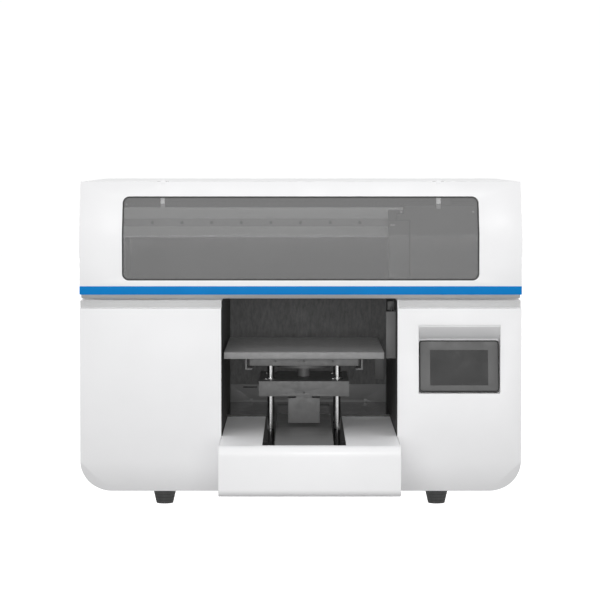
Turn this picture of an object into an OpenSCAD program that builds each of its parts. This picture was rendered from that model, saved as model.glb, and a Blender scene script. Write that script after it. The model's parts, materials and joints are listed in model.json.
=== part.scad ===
// Compact flatbed UV printer: a white desktop cabinet with a flip-up tinted visor,
// a bed that travels front to back and rises on four rods, and a print carriage
// that crosses the bay on a beam.
//
// The drawing frame used inside the modules has X across the cabinet from its
// centre, Y from the cabinet's front face towards the rear, and Z up from the floor.
// machine() moves that frame so that the part's origin is the centre of its footprint.

/* [Cabinet] */
// Width of the cabinet
body_w = 840; // [820:1:1040]
// Depth of the cabinet
body_d = 700; // [690:1:860]
// Height of the hood above the floor
body_h = 622; // [610:1:760]
// Thickness of the sheet-metal skins
sheet = 3; // [1.5:0.5:4]
// Radius of the cabinet's lower long edges
edge_r = 58; // [20:1:60]
// Height of the chamfer along the bottom of the front
toe_h = 60; // [20:1:80]
// Setback of the chamfer along the bottom of the front
toe_d = 28; // [10:1:30]
// Height of the small chamfer along the top of the cabinets
brow = 14; // [4:1:16]
// Height of the feet
foot_h = 30; // [15:1:50]
// Radius of a foot where it meets the cabinet
foot_r = 23; // [15:1:28]
// Distance of feet and hinges from the cabinet's sides
side_inset = 157; // [120:1:160]

/* [Hood] */
// Height of the lower edge of the hood above the floor
seam_z = 400.5; // [390:0.5:410]
// Open seam between hood and cabinets
seam_gap = 4; // [2:0.5:6]
// Height of the fold in the visor below the top
fold_drop = 100; // [80:1:120]
// Depth of the visor from its front face to the hinge seam
visor_d = 48; // [40:1:70]
// Height of the blue strip
strip_h = 16; // [8:1:20]
// Height of the grey lip under the strip
lip_h = 7.5; // [4:0.5:10]
// Margin between the window and the cabinet's sides
window_side = 81; // [60:1:100]
// Distance of the window's lower edge above the hood's lower edge
window_low = 34.5; // [28:0.5:50]
// Distance of the window's upper edge below the top
window_high = 28; // [20:1:50]
// Corner radius of the window
window_r = 13; // [6:1:20]
// Width of the rubber gasket round the window
gasket_w = 3; // [2:0.5:6]
// Width of the seam between visor and hood top
hood_seam = 4; // [3:0.5:6]

/* [Printing bay] */
// Width of the bay
bay_w = 335; // [325:1:360]
// Offset of the bay's centre from the cabinet's centre
bay_x = 16.5; // [0:0.5:20]
// Depth of the bay behind the front face
bay_d = 650; // [646:1:680]
// Thickness of the dark bay panels
liner = 2; // [1:0.5:3]
// Height of the cover plate low on the bay's rear wall
rear_cover_h = 42; // [20:1:60]

/* [Tray] */
// Reach of the tray in front of the cabinet
tray_out = 185; // [180:1:220]
// Height of the tray's top above the floor
tray_top = 139; // [135:1:150]
// Height of the tray's underside above the floor
tray_low = 45; // [45:1:48]
// Radius of the tray's upper front edge
tray_r = 20; // [5:1:24]
// Depth of the tray's white top inside the bay
tray_in = 372; // [200:1:400]
// Width of the open channel between the white tops
channel_w = 155; // [150:1:165]
// Width of the dark plate in the middle of the channel
floor_w = 110; // [100:1:112]

/* [Bed] */
// Offset of the bed's centre from the cabinet's centre
bed_x = 6.5; // [0:0.5:12]
// Width of the printing plate
platen_w = 306; // [240:1:310]
// Depth of the printing plate
platen_d = 412; // [400:1:440]
// Thickness of the printing plate
platen_t = 13; // [8:1:20]
// Height of the printing plate's top when the lift is down
platen_top = 297; // [290:1:300]
// Place of the printing plate's front edge behind the front face
platen_front = 20; // [10:1:30]
// Thickness of the frame under the printing plate
subplate_t = 16; // [10:1:20]
// Diameter of the four lift rods
rod_d = 12; // [8:1:14]
// Sideways distance of the lift rods
rod_pitch_x = 130; // [124:1:134]
// Lengthways distance of the lift rods
rod_pitch_y = 136; // [100:1:150]
// Place of the lift's centre behind the front face
lift_y = 195; // [180:1:220]
// Lift travel
lift_travel = 95; // [60:1:100]
// Diameter of the lead screw
screw_d = 12; // [8:1:13]
// Forward travel of the bed
travel_out = 200; // [100:1:200]
// Rearward travel of the bed
travel_in = 190; // [100:1:190]

/* [Gantry] */
// Place of the beam's front face behind the front face of the cabinet
beam_y = 280; // [270:1:300]
// Side of the square beam
beam_s = 60; // [50:1:64]
// Height of the beam's underside above the floor
beam_z = 508; // [500:1:520]
// Width of the linear rails
rail_w = 15; // [12:1:16]
// Height of the linear rails
rail_h = 12; // [10:1:15]
// Running clearance between rail and bearing block
rail_gap = 0.4; // [0.3:0.1:0.6]
// Radius of the belt pulleys
pulley_r = 8; // [7:0.5:8]
// Thickness of the belts
belt_t = 1.5; // [1:0.1:2]
// Side of the square stepping motors
motor_s = 42; // [40:1:43]

/* [Carriage] */
// Distance of the parked carriage's centre from the right-hand side of the cabinet
park_inset = 138; // [130:1:150]
// Width of the head box
head_box_w = 132; // [120:1:140]
// Front to back depth of the head box
head_box_d = 54; // [50:1:60]
// Height of the nozzles above the floor
nozzle_z = 402; // [401:0.5:404]
// Width of the UV lamp
lamp_w = 40; // [36:1:44]
// Size of a print head, across and front to back
head_size = [30, 40];
// Sideways distance of the print heads
head_pitch = 54; // [46:1:60]
// Travel of the capping station
cap_travel = 12; // [5:1:14]

/* [Screen] */
// Width of the touch screen's housing
screen_w = 152; // [130:1:160]
// Height of the touch screen's housing
screen_h = 99; // [90:1:110]
// Thickness of the touch screen's housing
screen_t = 14; // [10:1:16]
// Backward tilt of the touch screen
screen_tilt = 13.5; // [5:0.5:15]
// Height of the touch screen's lower edge above the floor
screen_z = 223; // [200:1:230]
// Size of the display glass
glass_size = [110, 68];

/* [Hidden] */
$fn = 48;
eps = 0.01;
half_w = body_w / 2;
cabinet_top = seam_z - seam_gap;
fold_z = body_h - fold_drop;
foot_x = half_w - side_inset;
foot_y = 85;
bay_x0 = bay_x - bay_w / 2;
bay_x1 = bay_x + bay_w / 2;
screen_x = (bay_x1 + half_w) / 2;

// Hinges of the visor
hinge_y = visor_d + hood_seam / 2;
hinge_z = body_h - 2.5;
knuckle_r = 6.5;
knuckle_w = 8;
hinge_pin_r = 2;
hinge_clear = 0.05;

// Tray and channel
tray_gap = 1.5;
tray_lip = 0.5;
tray_low_r = 14;
floor_step = 4;
slot_x0 = bed_x - channel_w / 2;
slot_x1 = bed_x + channel_w / 2;
tray_x0 = bay_x0 + tray_gap;
tray_x1 = bay_x1 - tray_gap;
rail_base = tray_low + sheet + 6;
base_z = foot_h + sheet;
base_t = 5;

// Lift
rod_r = rod_d / 2;
rod_clear = 0.05;
subplate_w = 209;
subplate_y = [60, 415];
platen_low = platen_top - platen_t;
subplate_low = platen_low - subplate_t;
bridge_low = 208;
bridge_t = 29;
bridge_w = 174;
bridge_margin = 55;
bridge_y0 = lift_y - rod_pitch_y / 2 - bridge_margin;
bridge_y1 = lift_y + rod_pitch_y / 2 + bridge_margin;
bushing_r = rod_r + 4;
flange_r = rod_r + 6;
tube_r = 12;
tube_bore = 8;
housing_w = 62;
housing_low = 147;
housing_wall = 4;
housing_d = [31, 95];
neck_w = 31;
neck_h = 12;
housing_top = bridge_low - neck_h;
screw_low = housing_low + 1;
screw_r = screw_d / 2;
screw_clear = 0.05;
screw_top = platen_low - 3;
bearing_r = 11;
bearing_t = 6;
z_motor_y = lift_y + 62;
z_pulley_low = housing_low + 8;
z_pulley_h = 7;
tube_low = z_pulley_low + z_pulley_h + 4;
nut_h = 14;

// Bed carriage and its drive
belt_w = 8;
belt_z = rail_base + motor_s / 2;
belt_gap = 0.3;
belt_r = pulley_r + belt_gap + belt_t;
rail_x = 52;
rail_y = [-160, 605];
y_ends = [-145, 640];
bed_plate_low = belt_z + belt_r + 1;
bed_plate_t = 10;
bed_plate_w = 170;
leg_t = 10;
leg_x = 66.5;
leg_d = 100;

// Gantry
beam_wall = 4;
beam_end = half_w - 30;
support_x = half_w - edge_r - 6;
support_t = 12;
x_rail_z = beam_z + beam_s / 2;
x_rail_end = half_w - 45;
x_belt_z = beam_z + beam_s + motor_s / 2;
x_belt_y = beam_y + 10;
x_end = half_w - 55;
motor_l = 40;

// Carriage
park_x = half_w - park_inset;
plate_t = 8;
block_l = 60;
block_h = 34;
block_w = 22;
carriage_y1 = beam_y - rail_h - 16;
carriage_y0 = carriage_y1 - head_box_d;
sole_z = nozzle_z + 6;
sole_t = 6;
lamp_x = park_x - head_box_w / 2 - lamp_w / 2 - 2;
lamp_top = 543;
box_top = 573;
fan_r = 15;
head_y = carriage_y0 + head_box_d / 2;

// Capping station
cap_gap = 0.3;
tub_low = 352;
tub_wall = 3;
carrier_low = 372;
carrier_t = 10;
tub_size = [118, 70];

// Rear services
exhaust_x = 250;
exhaust_z = 500;
exhaust_r = 52;
exhaust_frame = 120;
exhaust_t = 25;
socket_x = -300;
socket_z = 130;
switch_x = -250;
rear_y = body_d - sheet;

// Screen recess, glass, ink bottles and cover screws
recess_w = screen_w + 3;
recess_low = screen_z - 3.5;
recess_top = screen_z + 127;
recess_slope = 27;
pocket_d = 42;
pocket_ceiling = 26;
glass_x = (screen_w - glass_size[0]) / 2;
glass_z = 12.5;
bottle_count = 6;
bottle_y = 120;
bottle_neck_r = 9;
cover_screw_x = 122.3;
cover_screw_z = 147.4;
cap_x = park_x;
function bottle_x(i) = (bay_x0 - half_w) / 2 + (i - (bottle_count - 1) / 2) * 34;

// ---- Helpers ----

// Moves the drawing frame to the part's origin
module machine() translate([0, -(body_d + tray_out) / 2 + tray_out, 0]) children();

// A box between two corners
module block(x, y, z)
    translate([x[0], y[0], z[0]]) cube([x[1] - x[0], y[1] - y[0], z[1] - z[0]]);

// A box centred on x and y
module post(x, y, z, w, d) block([x - w / 2, x + w / 2], [y - d / 2, y + d / 2], z);

module rod_up(x, y, z, r) translate([x, y, z[0]]) cylinder(h = z[1] - z[0], r = r);
module rod_back(x, y, z, r)
    translate([x, y[0], z]) rotate([-90, 0, 0]) cylinder(h = y[1] - y[0], r = r);
module rod_across(x, y, z, r)
    translate([x[0], y, z]) rotate([0, 90, 0]) cylinder(h = x[1] - x[0], r = r);

// A side profile, drawn as [y, z] points, run across the cabinet
module across(x)
    translate([x[0], 0, 0]) rotate([90, 0, 90]) linear_extrude(x[1] - x[0]) children();

// A front profile, drawn as [x, z] points, run from front to back
module backwards(y)
    translate([0, y[1], 0]) rotate([90, 0, 0]) linear_extrude(y[1] - y[0]) children();

// A rectangle between two corners with round corners
module round_rect(x, z, r) {
    translate([x[0] + r, z[0]]) square([x[1] - x[0] - 2 * r, z[1] - z[0]]);
    translate([x[0], z[0] + r]) square([x[1] - x[0], z[1] - z[0] - 2 * r]);
    for (cx = [x[0] + r, x[1] - r], cz = [z[0] + r, z[1] - r])
        translate([cx, cz]) circle(r);
}

// A stadium outline between two equal circles along the first axis
module stadium(a, b, r) {
    translate([a, -r]) square([b - a, 2 * r]);
    for (c = [a, b]) translate([c, 0]) circle(r);
}

function unit(v) = v / norm(v);
function left_of(v) = [-v.y, v.x];
// A counter-clockwise outline moved inwards by t
function inset(p, t) = [for (i = [0 : len(p) - 1])
    let (n = len(p),
         before = left_of(unit(p[i] - p[(i + n - 1) % n])),
         after = left_of(unit(p[(i + 1) % n] - p[i])))
    p[i] + t * (before + after) / (1 + before * after)];

// ---- Hood ----

function visor_outline(rear) = [
    [0, seam_z + lip_h], [rear, seam_z + lip_h], [rear, body_h],
    [visor_d - hood_seam / 2, body_h], [0, fold_z]];

module visor_band(grow)
    difference() {
        across([-half_w, half_w]) polygon(visor_outline(visor_d - hood_seam / 2));
        across([-half_w + sheet, half_w - sheet])
            polygon(inset(visor_outline(visor_d + grow), sheet));
    }

module window_outline(inwards)
    round_rect([-half_w + window_side + inwards, half_w - window_side - inwards],
        [seam_z + window_low + inwards, body_h - window_high - inwards],
        window_r - inwards);

module visor() color("white") machine() {
    difference() {
        visor_band(20);
        backwards([-1, visor_d]) window_outline(0);
        block([-half_w - 1, half_w + 1], [-1, 1],
            [seam_z + lip_h - 1, seam_z + lip_h + strip_h]);
    }
    for (side = [-1, 1]) visor_knuckle(side * foot_x);
}

// Height of the inner face of the visor's slope at depth y
function slope_under(y) = let (p = inset(visor_outline(visor_d + 20), sheet))
    p[4].y + (y - p[4].x) * (p[3].y - p[4].y) / (p[3].x - p[4].x);

// The knuckle and the arm that carries it under the visor's slope
module visor_knuckle(x)
    difference() {
        union() {
            rod_across([x - knuckle_w / 2, x + knuckle_w / 2], hinge_y, hinge_z, knuckle_r);
            across([x - knuckle_w / 2, x + knuckle_w / 2])
                polygon([[hinge_y - 20, slope_under(hinge_y - 20)],
                    [hinge_y - 18, slope_under(hinge_y - 20) - 10],
                    [hinge_y - 6, slope_under(hinge_y - 20) - 10],
                    [hinge_y + 5, hinge_z - 3], [hinge_y - 4, hinge_z + 4],
                    [hinge_y - 10, slope_under(hinge_y - 10)]]);
        }
        rod_across([x - knuckle_w, x + knuckle_w], hinge_y, hinge_z, hinge_pin_r + hinge_clear);
    }

// A slice of the visor's skin, used by what fills its window
module visor_skin()
    difference() {
        across([-half_w + window_side, half_w - window_side])
            polygon(visor_outline(visor_d - hood_seam / 2));
        across([-half_w, half_w]) polygon(inset(visor_outline(visor_d + 20), sheet));
    }

module window() color("dimgray", 0.6) machine()
    intersection() {
        visor_skin();
        backwards([-1, visor_d]) window_outline(gasket_w);
    }

module window_gasket() color("black") machine()
    intersection() {
        visor_skin();
        backwards([-1, visor_d]) difference() {
            window_outline(0);
            window_outline(gasket_w);
        }
    }

module accent_strip() color("dodgerblue") machine()
    block([-half_w, half_w], [-0.5, 1], [seam_z + lip_h, seam_z + lip_h + strip_h]);

module visor_lip() color("darkgray") machine()
    across([-half_w + 3, half_w - 3])
        polygon([[1, seam_z + lip_h], [7, seam_z], [26, seam_z], [26, seam_z + 2],
            [9, seam_z + 2], [5, seam_z + lip_h]]);

module hood_shell() color("white") machine()
    difference() {
        block([-half_w, half_w], [visor_d + hood_seam / 2 + 2, body_d], [seam_z, body_h]);
        block([-half_w + sheet, half_w - sheet], [visor_d, body_d + 1],
            [seam_z - 1, body_h - sheet]);
        for (side = [-1, 1])
            block([side * foot_x - 12, side * foot_x + 12], [visor_d, hinge_y + 8],
                [body_h - sheet - 1, body_h + 1]);
    }

// Fixed leaves and pins of the visor's hinges, under the hood's top
module visor_hinges() color("silver") machine()
    for (side = [-1, 1]) {
        rod_across([side * foot_x - 11, side * foot_x + 11], hinge_y, hinge_z, hinge_pin_r);
        for (ear = [-1, 1]) {
            x = side * foot_x + ear * (knuckle_w / 2 + 4);
            rod_across([x - 3, x + 3], hinge_y, hinge_z, 3.2);
            block([x - 3, x + 3], [hinge_y, hinge_y + 30],
                [hinge_z - 3.2, body_h - sheet]);
        }
    }

// ---- Cabinets ----

function cabinet_outline(rear) = [
    [0, foot_h + toe_h], [toe_d, foot_h], [rear, foot_h], [rear, cabinet_top],
    [brow, cabinet_top], [brow, cabinet_top - brow], [0, cabinet_top - brow - 1]];

// Front profile of a left-hand cabinet ending at x = edge, moved inwards by t.
// Its lower outer corner is round.
module cabinet_face(edge, t) {
    translate([-half_w + t, foot_h + edge_r])
        square([edge + half_w - t, cabinet_top - foot_h - edge_r]);
    translate([-half_w + edge_r, foot_h + t])
        square([edge + half_w - edge_r, edge_r]);
    translate([-half_w + edge_r, foot_h + edge_r]) circle(edge_r - t);
}

// A left-hand cabinet's skin, open at the back and towards the bay
module cabinet_skin(edge)
    difference() {
        intersection() {
            backwards([0, body_d]) cabinet_face(edge, 0);
            across([-half_w, edge]) polygon(cabinet_outline(body_d));
        }
        intersection() {
            backwards([0, body_d + 2 * sheet]) cabinet_face(edge + 1, sheet);
            across([-half_w, edge + 1])
                polygon(inset(cabinet_outline(body_d + 2 * sheet), sheet));
        }
        block([-half_w + sheet, edge + 1], [rear_y, body_d + 1],
            [cabinet_top - sheet - 1, cabinet_top + 1]);
        block([-support_x - support_t, -support_x + support_t],
            [beam_y - 8, beam_y + 124], [cabinet_top - sheet - 1, cabinet_top + 1]);
    }

module left_cabinet() color("white") machine()
    difference() {
        cabinet_skin(bay_x0);
        for (i = [0 : bottle_count - 1])
            rod_up(bottle_x(i), bottle_y, [cabinet_top - sheet - 1, cabinet_top + 1],
                bottle_neck_r + 0.5);
    }

module right_cabinet() color("white") machine() {
    difference() {
        mirror([1, 0, 0]) cabinet_skin(-bay_x1);
        block([screen_x - recess_w / 2, screen_x + recess_w / 2], [-1, sheet + 1],
            [recess_low, recess_top]);
        block([cap_x - tub_size[0] / 2 + 6, cap_x + tub_size[0] / 2 - 6],
            [head_y - tub_size[1] / 2 + 6, head_y + tub_size[1] / 2 - 6],
            [cabinet_top - sheet - 1, cabinet_top + 1]);
    }
    screen_pocket();
}

// The pocket behind the screen, with a ceiling that slopes down to the screen's top
module screen_pocket()
    difference() {
        across([screen_x - recess_w / 2 - sheet, screen_x + recess_w / 2 + sheet])
            polygon([[sheet, recess_low - sheet], [pocket_d + sheet, recess_low - sheet],
                [pocket_d + sheet, recess_top - recess_slope + sheet],
                [pocket_ceiling, recess_top - recess_slope + sheet],
                [sheet, recess_top + sheet]]);
        across([screen_x - recess_w / 2, screen_x + recess_w / 2])
            polygon([[0, recess_low], [pocket_d, recess_low],
                [pocket_d, recess_top - recess_slope], [pocket_ceiling, recess_top - recess_slope],
                [0, recess_top]]);
    }

module rear_panel() color("white") machine()
    difference() {
        backwards([rear_y, body_d]) {
            difference() {
                translate([-half_w + sheet, foot_h + sheet])
                    square([body_w - 2 * sheet, body_h - foot_h - 2 * sheet]);
                for (side = [-1, 1])
                    translate([side * (half_w - edge_r / 2) - edge_r / 2, foot_h])
                        square([edge_r, edge_r]);
            }
            for (side = [-1, 1])
                translate([side * (half_w - edge_r), foot_h + edge_r]) circle(edge_r - sheet);
        }
        for (row = [-4 : 4])
            backwards([rear_y - 1, body_d + 1])
                translate([exhaust_x - vent_reach(row), exhaust_z + row * 11 - 3])
                    square([2 * vent_reach(row), 6]);
        backwards([rear_y - 1, body_d + 1])
            translate([socket_x - 24.3, socket_z - 14.3]) square([48.6, 28.6]);
        backwards([rear_y - 1, body_d + 1])
            translate([switch_x - 10.4, socket_z - 15]) square([20.8, 30]);
    }

// Half length of a vent slot, so that the slots fill a circle
function vent_reach(row) = sqrt(pow(exhaust_r, 2) - pow(row * 11, 2));

module feet() color("black") machine()
    for (x = [-foot_x, foot_x], y = [foot_y, body_d - foot_y])
        translate([x, y, 0]) cylinder(h = foot_h, r1 = foot_r * 0.7, r2 = foot_r);

// Floor plate of the machine, the pads and bed plate that carry the rails, and the
// ears that hold the front belt pulley
module base_frame() color("dimgray") machine()
    difference() {
        union() {
            block([-half_w + edge_r, half_w - edge_r], [toe_d + 4, rear_y - 7],
                [base_z, base_z + base_t]);
            for (side = [-1, 1])
                block([bed_x + side * 90 - 15, bed_x + side * 90 + 15], [toe_d + 4, tray_in - 5],
                    [base_z + base_t, tray_low]);
            block([tray_x0 + sheet + 1, tray_x1 - sheet - 1], [tray_in + 3, rear_y - 7],
                [base_z + base_t, tray_low + sheet]);
            block([tray_x0 + sheet + 1, tray_x1 - sheet - 1], [rail_y[0] - 4, rear_y - 7],
                [tray_low + sheet, rail_base]);
            for (side = [-1, 1])
                block([bed_x + side * 11 - 3, bed_x + side * 11 + 3],
                    [y_ends[0] - 7, y_ends[0] + 7], [rail_base, belt_z + 6]);
        }
        rod_across([bed_x - 20, bed_x + 20], y_ends[0], belt_z, 2.5 + screw_clear);
    }

// ---- Printing bay ----

module bay_liner() color([0.16, 0.16, 0.17]) machine() {
    for (wall = [[bay_x0 - liner, bay_x0], [bay_x1, bay_x1 + liner]])
        difference() {
            across(wall) polygon(inset(cabinet_outline(bay_d + sheet), sheet));
            block(wall + [-1, 1], [0, bay_d + 1], [base_z - 1, base_z + base_t]);
        }
    block([bay_x0 + 0.2, bay_x1 - 0.2], [bay_d - liner, bay_d],
        [tray_top - sheet, cabinet_top - sheet]);
}

module bay_rear_cover() color([0.32, 0.32, 0.33]) machine()
    difference() {
        block([bay_x0 + 1, bay_x1 - 1], [bay_d - 2 * liner, bay_d - liner],
            [tray_top + floor_step, tray_top + rear_cover_h]);
        for (side = [-1, 1])
            rod_back(bay_x + side * cover_screw_x, [bay_d - 9, bay_d - liner + 1],
                cover_screw_z, 2.6);
    }

// Button-head screws that hold the rear cover
module panel_screws() color("silver") machine()
    for (side = [-1, 1]) {
        rod_back(bay_x + side * cover_screw_x, [bay_d - 2 * liner - 2.5, bay_d - 2 * liner],
            cover_screw_z, 3.2);
        rod_back(bay_x + side * cover_screw_x, [bay_d - 2 * liner, bay_d - liner],
            cover_screw_z, 2.5);
    }

// The dark floor: a strip along the middle of the channel and a slightly higher plate
// on each side of it behind the tray
module bay_floor() color([0.12, 0.12, 0.13]) machine() {
    block([bed_x - floor_w / 2, bed_x + floor_w / 2],
        [-tray_out + tray_r, bay_d - liner], [tray_top - sheet, tray_top]);
    for (x = [[bay_x0, slot_x0], [slot_x1, bay_x1]])
        block(x, [tray_in, bay_d - liner], [tray_top, tray_top + floor_step]);
}

// ---- Tray ----

module tray_body() color("white") machine()
    difference() {
        union() {
            across([bay_x0 - tray_lip, bay_x1 + tray_lip]) {
                translate([-tray_out, tray_low + tray_low_r])
                    square([tray_out - tray_lip, tray_top - tray_r - tray_low - tray_low_r]);
                translate([-tray_out + tray_r, tray_top - tray_r - eps])
                    square([tray_out - tray_r - tray_lip, tray_r + eps]);
                translate([-tray_out + tray_r, tray_top - tray_r]) circle(tray_r);
                translate([-tray_out + tray_low_r, tray_low])
                    square([tray_out - tray_low_r - tray_lip, tray_low_r + eps]);
                translate([-tray_out + tray_low_r, tray_low + tray_low_r]) circle(tray_low_r);
            }
            block([tray_x0, tray_x1], [-tray_lip - 1, tray_in], [tray_low, tray_top]);
        }
        block([tray_x0 + sheet, tray_x1 - sheet], [-tray_out + sheet, tray_in + 1],
            [tray_low + tray_low_r, tray_top - tray_r - sheet]);
        block([tray_x0 + sheet, tray_x1 - sheet], [-tray_out + tray_r, tray_in + 1],
            [tray_low + sheet, tray_top + 1]);
        block([tray_x0, tray_x1], [-tray_out + tray_r, tray_in + 1],
            [tray_top - sheet, tray_top + 1]);
    }

module tray_side_tops() color("white") machine() {
    for (x = [[tray_x0, slot_x0], [slot_x1, tray_x1]])
        block(x, [-tray_out + tray_r, tray_in], [tray_top - sheet, tray_top]);
}

// Bracket for the height sensor on the bay's right wall, and the small box of the
// bed's end switch on the rear wall
module sensor_bracket() color("darkgray") machine() {
    x = bay_x1;
    block([x - 18.5, x - 2], [100, 102], [279, 370]);
    block([x - 2, x], [100, 130], [279, 370]);
    block([x - 16, x - 4], [102, 126], [330, 362]);
    block([x - 25, x - 6], [bay_d - liner - 9, bay_d - liner], [192, 235]);
}

// ---- Bed drive ----

// Rails of the bed on the base, and of the carriage on the beam's face
module linear_rails() color("silver") machine() {
    for (side = [-1, 1])
        block([bed_x + side * rail_x - rail_w / 2, bed_x + side * rail_x + rail_w / 2],
            rail_y, [rail_base, rail_base + rail_h]);
    block([-x_rail_end, x_rail_end], [beam_y - rail_h, beam_y],
        [x_rail_z - rail_w / 2, x_rail_z + rail_w / 2]);
}

module bed_blocks() color("silver") machine()
    for (side = [-1, 1], y = [lift_y - 45, lift_y + 45])
        difference() {
            post(bed_x + side * rail_x, y, [rail_base + 3, bed_plate_low], block_h, 50);
            post(bed_x + side * rail_x, y, [rail_base, rail_base + rail_h + rail_gap],
                rail_w + 2 * rail_gap, 52);
        }

// The bed's carriage: a plate on the bearing blocks and two legs that rise through
// the channel's slots
module bed_carriage() color([0.1, 0.1, 0.1]) machine() {
    post(bed_x, lift_y, [bed_plate_low, bed_plate_low + bed_plate_t], bed_plate_w, 160);
    post(bed_x, lift_y, [belt_z + belt_r + belt_gap, bed_plate_low], 16, 24);
    for (side = [-1, 1])
        block([bed_x + side * leg_x - leg_t / 2, bed_x + side * leg_x + leg_t / 2],
            [lift_y - leg_d / 2, lift_y + leg_d / 2], [bed_plate_low, bridge_low]);
}

// Square stepping motor with its round boss, shaft side towards +Z of its own frame
module motor_body(length)
    difference() {
        translate([-motor_s / 2, -motor_s / 2, -length]) cube([motor_s, motor_s, length]);
        translate([0, 0, -3]) cylinder(h = 4, r = 4);
    }

// A toothed-belt pulley with flanges and its shaft
module pulley(width, shaft) {
    cylinder(h = width, r = pulley_r, center = true);
    cylinder(h = shaft, r = 2.5, center = true);
}

// A belt loop round two pulleys at a and b along its first axis
module belt_loop(a, b)
    linear_extrude(belt_w, center = true) difference() {
        stadium(a, b, belt_r);
        stadium(a, b, belt_r - belt_t);
    }

// Motors of the bed's and the carriage's belts
module axis_motors() color("black") machine() {
    translate([bed_x + 12, y_ends[1], belt_z]) rotate([0, -90, 0]) motor_body(motor_l);
    translate([-x_end, beam_y + 18, x_belt_z]) rotate([90, 0, 0]) motor_body(motor_l);
}

module y_drive_pulley() color("silver") machine()
    translate([bed_x, y_ends[1], belt_z]) rotate([0, 90, 0]) {
        pulley(belt_w + 2, 10);
        cylinder(h = 14, r = 2.5);
    }

module y_idler_pulley() color("silver") machine()
    translate([bed_x, y_ends[0], belt_z]) rotate([0, 90, 0]) pulley(belt_w + 2, 28);

module axis_belts() color([0.08, 0.08, 0.08]) machine() {
    translate([bed_x, 0, belt_z]) rotate([90, 0, 90]) belt_loop(y_ends[0], y_ends[1]);
    translate([0, x_belt_y, x_belt_z]) rotate([90, 0, 0]) belt_loop(-x_end, x_end);
}

// ---- Lift ----

// Places something at each of the four lift rods
module at_rods()
    for (sx = [-1, 1], sy = [-1, 1])
        translate([bed_x + sx * rod_pitch_x / 2, lift_y + sy * rod_pitch_y / 2, 0]) children();

module lift_bridge() color("gray") machine()
    difference() {
        block([bed_x - bridge_w / 2, bed_x + bridge_w / 2], [bridge_y0, bridge_y1],
            [bridge_low, bridge_low + bridge_t]);
        at_rods() translate([0, 0, bridge_low - 1])
            cylinder(h = bridge_t + 2, r = bushing_r + rod_clear);
        rod_up(bed_x, lift_y, [bridge_low - 1, bridge_low + bridge_t + 1], tube_r + 0.4);
        rod_back(bed_x, [bridge_y0 - 1, bridge_y0 + 8], bridge_low + 7, 2);
    }

module rod_bushings() color("silver") machine()
    at_rods() difference() {
        union() {
            translate([0, 0, bridge_low]) cylinder(h = bridge_t, r = bushing_r);
            translate([0, 0, bridge_low + bridge_t]) cylinder(h = 3, r = flange_r);
        }
        translate([0, 0, bridge_low - 1])
            cylinder(h = bridge_t + 5, r = rod_r + rod_clear);
    }

module lift_rods() color("silver") machine()
    at_rods() translate([0, 0, bed_plate_low + bed_plate_t + 10])
        cylinder(h = subplate_low - bed_plate_low - bed_plate_t - 10, r = rod_r);

// The tube that the nut pushes up, with the disc that carries the bed on top of it
module lift_tube() color("dimgray") machine()
    difference() {
        union() {
            rod_up(bed_x, lift_y, [tube_low, subplate_low - 12], tube_r);
            rod_up(bed_x, lift_y, [subplate_low - 12, subplate_low], 52);
        }
        rod_up(bed_x, lift_y, [tube_low - 1, subplate_low + 1], tube_bore);
    }

module lift_nut() color("goldenrod") machine()
    difference() {
        rod_up(bed_x, lift_y, [tube_low, tube_low + nut_h], tube_bore - screw_clear);
        rod_up(bed_x, lift_y, [tube_low - 1, tube_low + nut_h + 1], screw_r + screw_clear);
    }

module bed_subplate() color("gray") machine()
    difference() {
        block([bed_x - subplate_w / 2, bed_x + subplate_w / 2], subplate_y,
            [subplate_low, platen_low]);
        rod_up(bed_x, lift_y, [subplate_low - 1, platen_low + 1], tube_bore);
        for (i = [-1 : 1])
            rod_back(bed_x + i * 55, [subplate_y[0] - 1, subplate_y[0] + 10],
                subplate_low + 9, 2);
    }

module platen() color("darkgray") machine()
    block([bed_x - platen_w / 2, bed_x + platen_w / 2],
        [platen_front, platen_front + platen_d], [platen_low, platen_top]);

// Angle strips under the printing plate that grip jigs
module platen_clips() color("gray") machine()
    for (side = [-1, 1]) {
        outer = side * (subplate_w / 2 + 9);
        foot = side * (subplate_w / 2 - 5);
        block([bed_x + min(outer, outer - side * 4), bed_x + max(outer, outer - side * 4)],
            [subplate_y[0], subplate_y[0] + 60], [subplate_low - 8, platen_low]);
        block([bed_x + min(outer, foot), bed_x + max(outer, foot)],
            [subplate_y[0], subplate_y[0] + 60], [subplate_low - 8, subplate_low - 5]);
    }

module lift_housing() color("gray") machine()
    difference() {
        union() {
            block([bed_x - housing_w / 2, bed_x + housing_w / 2],
                [lift_y - housing_d[0], lift_y + housing_d[1]], [housing_low, housing_top]);
            block([bed_x - neck_w / 2, bed_x + neck_w / 2],
                [lift_y - housing_d[0], lift_y + housing_d[1]], [housing_top - 1, bridge_low]);
        }
        block([bed_x - housing_w / 2 + housing_wall, bed_x + housing_w / 2 - housing_wall],
            [lift_y - housing_d[0] + housing_wall, lift_y + housing_d[1] - housing_wall],
            [z_pulley_low - 1, housing_top - housing_wall]);
        rod_up(bed_x, lift_y, [z_pulley_low, bridge_low + 1], tube_r + 0.4);
        rod_up(bed_x, lift_y, [screw_low, z_pulley_low], bearing_r + screw_clear);
    }

module screw_bearing() color("silver") machine()
    difference() {
        rod_up(bed_x, lift_y, [screw_low, screw_low + bearing_t], bearing_r);
        rod_up(bed_x, lift_y, [screw_low - 1, screw_low + bearing_t + 1],
            screw_r + screw_clear);
    }

module lead_screw() color("silver") machine() {
    rod_up(bed_x, lift_y, [screw_low + 0.2, screw_top], screw_r);
    rod_up(bed_x, lift_y, [z_pulley_low, z_pulley_low + z_pulley_h], pulley_r);
}

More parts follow.
